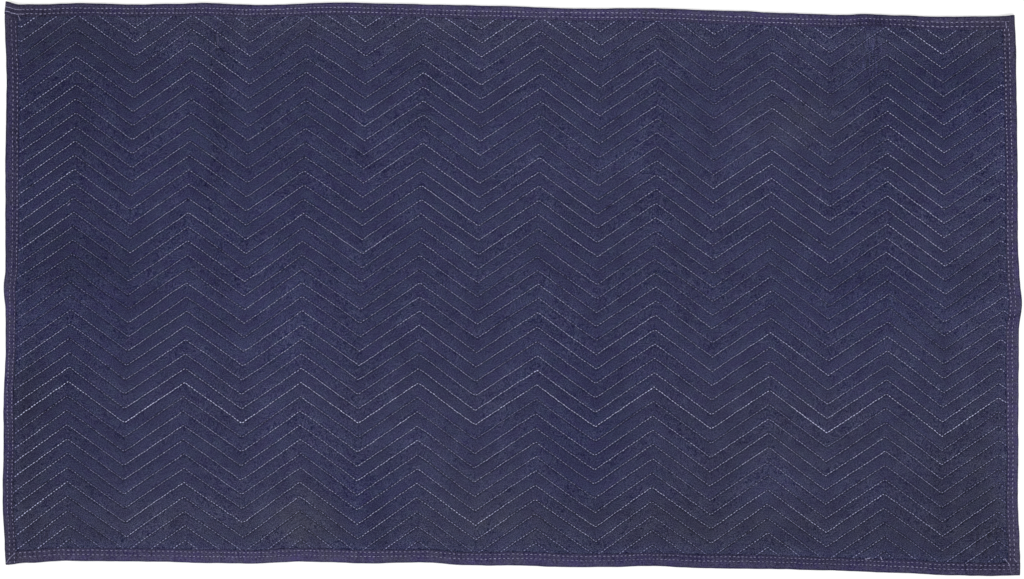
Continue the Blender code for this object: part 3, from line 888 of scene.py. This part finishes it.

# How light or dark each strip is along its run, and the painted shade and light across the folded face:
# darkest at the fold, where the tape turns from the light, lighter on the soft roll beside it, and darker
# between and beyond the stitch rows: (place, tone). The face's places run from 0 at the fold to 1 at the
# flange's edge.
TAPE_TONES = {
    "binding_top": (
        (0.0, -0.24), (0.04, -0.3), (0.14, -0.26), (0.27, -0.12), (0.41, -0.03), (0.5, 0.07), (0.59, 0.0),
        (0.78, 0.1), (0.91, 0.15), (1.05, 0.17), (1.23, 0.08), (1.32, 0.15), (1.41, 0.1), (1.5, -0.05),
        (1.59, -0.16), (1.68, -0.04), (1.74, -0.08), (1.82, -0.08),
    ),
    "binding_right": (
        (0.0, -0.05), (0.12, -0.18), (0.21, -0.1), (0.29, -0.02), (0.38, 0.06), (0.55, 0.13), (0.64, 0.2),
        (0.71, 0.28), (0.8, 0.15), (0.88, 0.1), (1.01, 0.1),
    ),
    "binding_bottom": (
        (0.0, 0.0), (0.04, -0.16), (0.14, -0.13), (0.23, -0.04), (0.36, -0.17), (0.5, -0.05), (0.64, -0.09),
        (0.77, 0.07), (0.91, 0.11), (1.12, 0.05), (1.18, 0.26), (1.32, 0.23), (1.5, 0.28), (1.6, 0.14),
        (1.82, 0.0),
    ),
    "binding_left": (
        (0.0, -0.16), (0.2, -0.19), (0.3, 0.0), (0.42, 0.07), (0.49, 0.05), (0.54, -0.21), (0.7, -0.15),
        (0.78, -0.36), (0.9, -0.32), (1.01, -0.16),
    ),
}
TAPE_PAINTED_SHADING = (
    (0.0, -0.48), (0.09, -0.32), (0.15, -0.06), (0.19, 0.05), (0.24, 0.0), (0.38, 0.0), (0.55, -0.24),
    (0.8, -0.26), (0.9, -0.32), (1.0, -0.3),
)
DUSTY_END = 0.17
DUSTY_SHARE = 0.7

# Pleats and dents across the tape: (node, place along the run, half width, how deep).
PLEATS = (
    ("binding_bottom", 0.097, 0.0014, 0.001),
    ("binding_bottom", 0.946, 0.0014, 0.0006),
    ("binding_bottom", 1.182, 0.0014, 0.0007),
    ("binding_bottom", 1.432, 0.0016, 0.0007),
    ("binding_top", 1.54, 0.005, 0.0007),
    ("binding_top", 1.575, 0.009, 0.0006),
    ("binding_right", 0.54, 0.004, 0.001),
)


def strip_point(name, run, depth):
    """The cloth point a run from a strip's lapping end and a depth in from its edge."""
    return {
        "binding_top": (run, WIDTH - depth),
        "binding_right": (LENGTH - depth, WIDTH - run),
        "binding_bottom": (LENGTH - run, depth),
        "binding_left": (depth, run),
    }[name]


def uneven(runs, stray, kind):
    """A smooth random wander along a strip. Each kind of wander is another one."""
    far, length = stray
    places = [(run / length, kind * STRAY_KINDS_APART, 0.5) for run in runs]
    return far * np.array([STRAY_GAIN * noise.noise(Vector(place)) for place in places])


def tape_sections(node, runs):
    """The outside of the folded tape at each run: (depths, heights, shade), lower flange to face flange."""
    edge = EDGES[node]
    lapping = 1 - smooth((runs - LAP_LENGTH) / LAP_RAMP)
    covered = smooth((runs - (edge - 2 * LAP_LENGTH)) / LAP_LENGTH)
    low = (LOW + (LOW_LAPPING - LOW) * lapping) * (1 - covered) + LOW_COVERED * covered
    high = HIGH + (HIGH_LAPPING - HIGH) * lapping
    kind = len(node)  # the four names differ in length, so each strip wanders its own way
    outer_row = read(ROW_DEPTHS[node], runs)[0]
    face_width = outer_row + ROW_GAP + HEMS[node] + uneven(runs, HEM_STRAY, kind)
    outward = uneven(runs, FOLD_STRAY, kind + 1)
    waves = uneven(runs, WAVE_STRAY, kind + 2)
    tone = read(TAPE_TONES[node], runs)[0]
    pleat = np.zeros_like(runs)
    for pleated, place, half_width, deep in PLEATS:
        if pleated == node:
            pleat += deep * np.exp(-(((runs - place) / half_width) ** 2))
    sections = [(np.full_like(runs, depth), low, tone) for depth in UNDER_DEPTHS]
    for angle in FOLD_ANGLES:
        turn = math.radians(angle)
        bend = FOLD_DEPTH * (1 - math.cos(turn)) - outward
        height = (low + high) / 2 + (high - low) / 2 * math.sin(turn)
        # The fold takes the darkest painted shade, where the tape turns away from the light.
        sections.append((bend, height, tone + TAPE_PAINTED_SHADING[0][1]))
    for share in FACE_SHARES:
        depth = FOLD_DEPTH + (face_width - FOLD_DEPTH) * share
        on_rows = np.exp(-(((depth - outer_row) / DIP_WIDTH) ** 2))
        on_rows = on_rows + np.exp(-(((depth - outer_row - ROW_GAP) / DIP_WIDTH) ** 2))
        roll = ROLL_HEIGHT * np.exp(-(((depth - ROLL_DEPTH) / ROLL_WIDTH) ** 2))
        ripple = uneven(runs, RIPPLE_STRAY, kind + 2 * share) + waves
        height = high + roll + ripple - STITCH_DIP * on_rows - pleat - EDGE_DROOP * share**4
        shade = tone + read(TAPE_PAINTED_SHADING, depth / face_width)[0] - DIP_SHADE * on_rows - PLEAT_SHADE * pleat
        sections.append((depth, height, shade))
    return sections


TAPE_VIOLET = (0.0325, 0.0262, 0.08)
TAPE_GREY = (0.0355, 0.0328, 0.07)
TAPE_DUST = (0.0375, 0.0325, 0.059)
TAPE_SHADOW_BLUE = (0.0012, 0.0, 0.022)
TAPE_FLECK = (0.029, 0.029, 0.04)
RIBS_A_METRE = 190.0
PICKS_A_METRE = 300.0
STREAKS_A_METRE = (18.0, 420.0, 1.0)
PUCKERS_A_METRE = (290.0, 50.0, 1.0)
DARKEST = 0.2
tape_cloth, tree, surface = new_material("tape_weave", roughness=0.85, specular=0.2)
place = add(tree, "ShaderNodeTexCoord")["Object"]
blotches = ramp(tree, cloudy(tree, place, scale=40.0, detail=3.0, roughness=0.6), 0.36, 0.64)
hue = mix_colours(tree, blotches, TAPE_VIOLET, TAPE_GREY)
hue = mix_colours(tree, attribute(tree, "dusty"), hue, TAPE_DUST)
on_tape = point(tree, attribute(tree, "run"), attribute(tree, "depth"), 0.0)
ribs = banded(tree, on_tape, "Y", RIBS_A_METRE, 0.8)
picks = banded(tree, on_tape, "X", PICKS_A_METRE, 0.8)
streaks = cloudy(tree, vector_maths(tree, "MULTIPLY", on_tape, STREAKS_A_METRE), 1.0, detail=2.0)
puckers = cloudy(tree, vector_maths(tree, "MULTIPLY", on_tape, PUCKERS_A_METRE), 1.0)
gain = maths(tree, "MAXIMUM", total(tree, attribute(tree, "shade"), 1.0), DARKEST)
shadow_blue = scaled(tree, TAPE_SHADOW_BLUE, maths(tree, "SUBTRACT", 1.0, gain))
rib_gain = ramp(tree, ribs, 0.0, 1.0, 0.86, 1.14)
streak_gain = ramp(tree, streaks, 0.3, 0.7, 0.85, 1.15)
# The puckers are painted into the colour as light and shade, and bump the surface too.
pucker_light_and_shade = ramp(tree, puckers, 0.3, 0.7, 0.80, 1.20)
gain = product(tree, gain, product(tree, rib_gain, streak_gain), pucker_light_and_shade)
worn = vector_maths(tree, "ADD", scaled(tree, hue, gain), shadow_blue)
flecks = ramp(tree, cloudy(tree, place, SPECKLES_A_METRE), 0.35, 0.65, -1.0, 1.0)
colour = vector_maths(tree, "MULTIPLY_ADD", flecks, TAPE_FLECK, worn)
tree.links.new(colour, surface["Base Color"])
raised_picks = product(tree, picks, 0.6)
woven = total(tree, ribs, raised_picks, product(tree, puckers, 1.5))
bump = add(tree, "ShaderNodeBump", {"Strength": 0.6, "Distance": 0.0003, "Height": woven})[0]
tree.links.new(bump, surface["Normal"])

strips = []
for node, edge in EDGES.items():
    runs = set(np.linspace(0.0, edge - SET_IN, round(edge / RUN_STEP)))
    for pleated, place, half_width, deep in PLEATS:
        if pleated == node:
            runs.update(place + half_width * station for station in PLEAT_STATIONS)
    runs = np.array(sorted(runs))
    dusty_ends = DUSTY_SHARE - DUSTY_SHARE * smooth(np.minimum(runs, edge - runs) / DUSTY_END)
    corners, notes = [], {"run": [], "depth": [], "shade": [], "dusty": []}
    for depth, height, shade in tape_sections(node, runs):
        right, up = laid(*strip_point(node, runs, depth))
        corners.append(np.stack((right, up, height), axis=1))
        for name, values in (("run", runs), ("depth", depth), ("shade", shade), ("dusty", dusty_ends)):
            notes[name].append(values)
    mesh = bpy.data.meshes.new(node.replace("binding", "tape"))
    mesh.from_pydata(np.concatenate(corners).tolist(), [], grid_faces(len(corners), len(runs)))
    for name, values in notes.items():
        set_attribute(mesh, name, np.concatenate(values))
    mesh.materials.append(tape_cloth)
    mesh.shade_smooth()
    strip = bpy.data.objects.new(mesh.name, mesh)
    scene.collection.objects.link(strip)
    thickness = strip.modifiers.new("tape thickness", "SOLIDIFY")
    thickness.thickness = TAPE
    thickness.offset = -1.0
    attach(strip, "root")
    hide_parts(node)
    strips.append(strip)


# ----------------------------------------------------------
# The binding stitches: two rows of pale violet lockstitch down every strip, through the tape on both sides.
# Each stitch is the same bead of thread as in the quilting, only thinner.
# ----------------------------------------------------------

# How far apart the stitches lie along each strip, where the machine ran fast or slow: (place, pitch). The top
# strip's first stitches are doubled to lock the end.
PITCHES = {
    "binding_top": (
        (0.0, 0.0048), (0.026, 0.0048), (0.03, 0.008), (0.2, 0.0078), (0.36, 0.0065), (0.5, 0.0068),
        (0.64, 0.0077), (0.84, 0.0071), (1.04, 0.0082), (1.34, 0.0077), (1.54, 0.007), (1.66, 0.0088),
        (1.82, 0.0094),
    ),
    "binding_right": (
        (0.0, 0.0084), (0.12, 0.008), (0.2, 0.0066), (0.31, 0.0081), (0.6, 0.0078), (0.8, 0.0082),
        (1.01, 0.0089),
    ),
    "binding_bottom": (
        (0.0, 0.0083), (0.14, 0.0082), (0.3, 0.007), (0.45, 0.0073), (0.57, 0.0079), (0.66, 0.007),
        (0.77, 0.0082), (1.15, 0.008), (1.28, 0.0071), (1.43, 0.0068), (1.55, 0.0084), (1.82, 0.0088),
    ),
    "binding_left": (
        (0.0, 0.0076), (0.2, 0.0069), (0.4, 0.0066), (0.55, 0.0073), (0.7, 0.0081), (1.01, 0.0085),
    ),
}

# How strongly the thread shows along each strip: (place, strength).
THREAD_SHOWING = {
    "binding_top": ((0.0, 1.15), (0.026, 1.15), (0.034, 1.05), (1.785, 1.15), (1.8, 0.7), (1.82, 0.6)),
    "binding_right": ((0.0, 1.45), (0.1, 1.25), (1.01, 1.15)),
    "binding_bottom": ((0.0, 0.95), (1.82, 0.95)),
    "binding_left": ((0.0, 1.06), (0.91, 1.02), (1.01, 1.05)),
}

# How much of its pitch each stitch shows: (place, share).
STITCH_SHARES = {
    "binding_top": ((0.0, 0.62), (1.42, 0.6), (1.52, 0.5), (1.6, 0.52), (1.68, 0.6), (1.82, 0.62)),
    "binding_right": ((0.0, 0.5), (1.01, 0.5)),
    "binding_bottom": ((0.0, 0.56), (1.82, 0.56)),
    "binding_left": ((0.0, 0.5), (1.01, 0.5)),
}
DOUBLED_LENGTH = 0.0058
ROW_STRAY = (0.0003, 0.03)
STRENGTH_STRAY = (0.22, 0.07)

# Where the stitch rows start along each strip, and how far from its end they stop.
SEWN_ENDS = {
    "binding_top": (0.003, 0.004),
    "binding_right": (0.026, 0.026),
    "binding_bottom": (0.004, 0.026),
    "binding_left": (0.004, 0.026),
}

# Where a row of the binding skipped: (strip, row, from run, to run).
BINDING_SKIPS = (("binding_top", 1, 1.558, 1.594),)
SKIPPED_STRENGTH = 0.12

all_cloth = bpy.data.meshes.new("all_cloth")
bm = bmesh.new()
for piece in (panel, *strips):
    bm.from_mesh(piece.data)
bm.to_mesh(all_cloth)
bm.free()
sewn_cloth = bpy.data.objects.new("sewn_cloth", all_cloth)
scene.collection.objects.link(sewn_cloth)

BINDING_THREAD_COLOUR = (0.172, 0.168, 0.235)
BINDING_THREAD_SHADOW = (0.009, 0.005, 0.046)
binding_thread, tree, surface = new_material("binding_thread", roughness=0.6, specular=0.5)
place = add(tree, "ShaderNodeTexCoord")["Object"]
fray = product(tree, cloudy(tree, place, FRAYS_A_METRE, detail=2.0), 2.0)
gain = product(tree, attribute(tree, "strength"), fray)
colour = vector_maths(tree, "MULTIPLY_ADD", BINDING_THREAD_COLOUR, gain, BINDING_THREAD_SHADOW)
tree.links.new(colour, surface["Base Color"])

for index, (node, edge) in enumerate(EDGES.items()):
    start, stop = SEWN_ENDS[node]
    lines = []
    for row in (0, 1):
        for side in (1, -1):
            runs = [start]
            while runs[-1] < edge - stop:
                runs.append(runs[-1] + float(read(PITCHES[node], runs[-1])[0]))
            runs = np.array(runs[:-1])
            depths = read(ROW_DEPTHS[node], runs)[0] + ROW_GAP * row
            depths = depths + uneven(runs, ROW_STRAY, index + 20 * row)
            spots = np.array(laid(*strip_point(node, runs, depths))).T
            strengths = 1.0 + uneven(runs, STRENGTH_STRAY, 9 * row + index + side)
            strengths *= read(THREAD_SHOWING[node], runs)[0]
            pitches = read(PITCHES[node], runs)[0]
            shown = read(STITCH_SHARES[node], runs)[0] * pitches
            lengths = np.where(pitches < DOUBLED_LENGTH, DOUBLED_LENGTH, shown)
            for strip, skipped_row, first, last in BINDING_SKIPS:
                if (strip, skipped_row, 1) == (node, row, side):
                    strengths = np.where((runs > first) & (runs < last), SKIPPED_STRENGTH, strengths)
            lines.append((spots, strengths, lengths, side))
    stitches = made_by(
        stitching,
        node.replace("binding", "stitches"),
        sewing_path(node + "_path", lines),
        {
            "Cloth": sewn_cloth,
            "Thread": binding_thread,
            "Space Evenly": False,
            "Thread Width": 0.0015,
            "Thread Height": 0.0009,
            "Sunk": -0.0001,
            "Slant": 0.14,
            "Wander": 0.0004,
            "Seed": 31 + index,
        },
    )
    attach(stitches, "root")


# ----------------------------------------------------------
# The loose threads: seam ends and tails that the cutting and the binding left, lying on the cloth at the
# corners and by the edges, and two snagged stitches further in.
# ----------------------------------------------------------
TAIL_STEP = 0.0015
TAIL_STITCH = 0.0026

# Each tail: how strongly it shows, then its points on the cut cloth.
THREAD_TAILS = (
    (1.2, (1.8035, 0.995), (1.8035, 0.99), (1.804, 0.984)),
    (1.2, (0.025, 0.985), (0.027, 0.981), (0.028, 0.977)),
    (1.3, (1.793, 0.03), (1.797, 0.025), (1.801, 0.0185)),
    (0.5, (1.801, 0.0185), (1.802, 0.012), (1.804, 0.004)),
    (1.1, (1.809, 0.03), (1.8135, 0.024)),
    (0.9, (0.0185, 0.019), (0.013, 0.0155), (0.0085, 0.012), (0.005, 0.008), (0.0015, 0.003)),
    (2.0, (1.543, 0.023), (1.547, 0.0235), (1.5505, 0.025)),
    (1.8, (1.5705, 0.0275), (1.572, 0.023)),
    (1.1, (0.1165, 0.6447), (0.113, 0.6415)),
    (0.3, (0.37, 0.918), (0.375, 0.923), (0.3805, 0.9275), (0.383, 0.931), (0.384, 0.94), (0.383, 0.951)),
    (0.5, (0.375, 0.9315), (0.379, 0.9335), (0.3785, 0.936)),
)

lines = []
for showing, *points in THREAD_TAILS:
    points = np.array(points)
    stations = np.concatenate(([0.0], np.cumsum(np.hypot(*np.diff(points, axis=0).T))))
    places = np.arange(0.0, stations[-1], TAIL_STEP)
    along, across = (np.interp(places, stations, points[:, axis]) for axis in (0, 1))
    spots = np.array(laid(along, across)).T
    lines.append((spots, showing, TAIL_STITCH, 1))
loose_threads = made_by(
    stitching,
    "loose_threads",
    sewing_path("loose_threads_path", lines),
    {
        "Cloth": sewn_cloth,
        "Thread": binding_thread,
        "Space Evenly": False,
        "Thread Width": 0.0013,
        "Thread Height": 0.0011,
        "Slant": 0.20,
        "Wander": 0.0002,
        "Seed": 51,
    },
)
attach(loose_threads, "root")
bpy.data.objects.remove(sewn_cloth)
